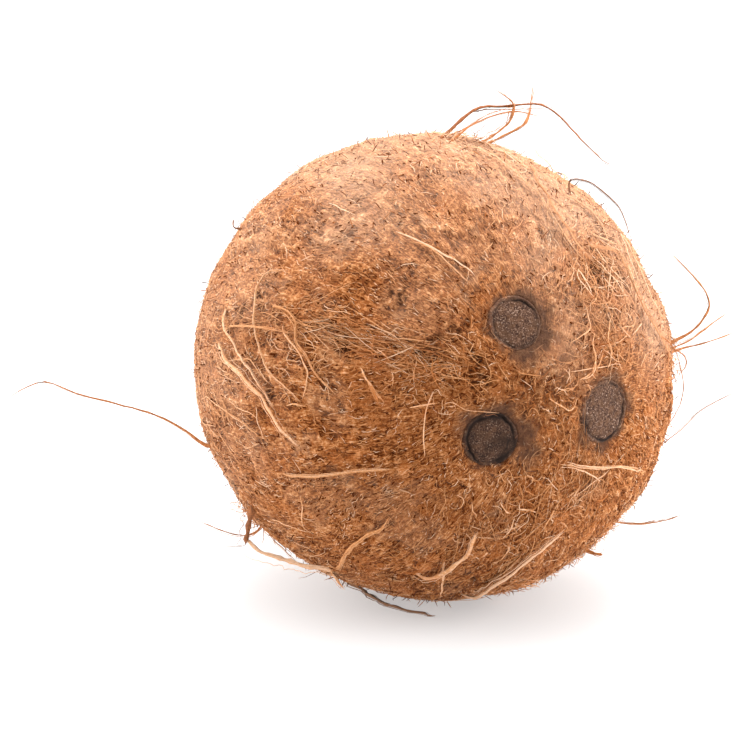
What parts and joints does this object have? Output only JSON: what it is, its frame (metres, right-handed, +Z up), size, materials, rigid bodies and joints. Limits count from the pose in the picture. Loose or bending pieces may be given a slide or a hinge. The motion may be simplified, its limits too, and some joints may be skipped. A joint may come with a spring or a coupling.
{
  "type": "coconut",
  "caption": "Husked brown coconut lying on its side on a small flat spot: a nearly round nut with its eyes at one end and matted coir with loose strands all over.",
  "frame": {"origin": "on the flat spot that the nut rests on, straight under the nut's middle", "axes": "+Z up; the nut's axis lies along Y, with the eye end to -Y and tilted 8 degrees up"},
  "size_m": [0.1619, 0.1236, 0.124],
  "materials": {
    "coir": "dry matted coir fibre, pale tan to red brown, quite rough, over a hard brown shell"
  },
  "bodies": {
    "root": {"coconut": "coir"}
  },
  "joints": []
}
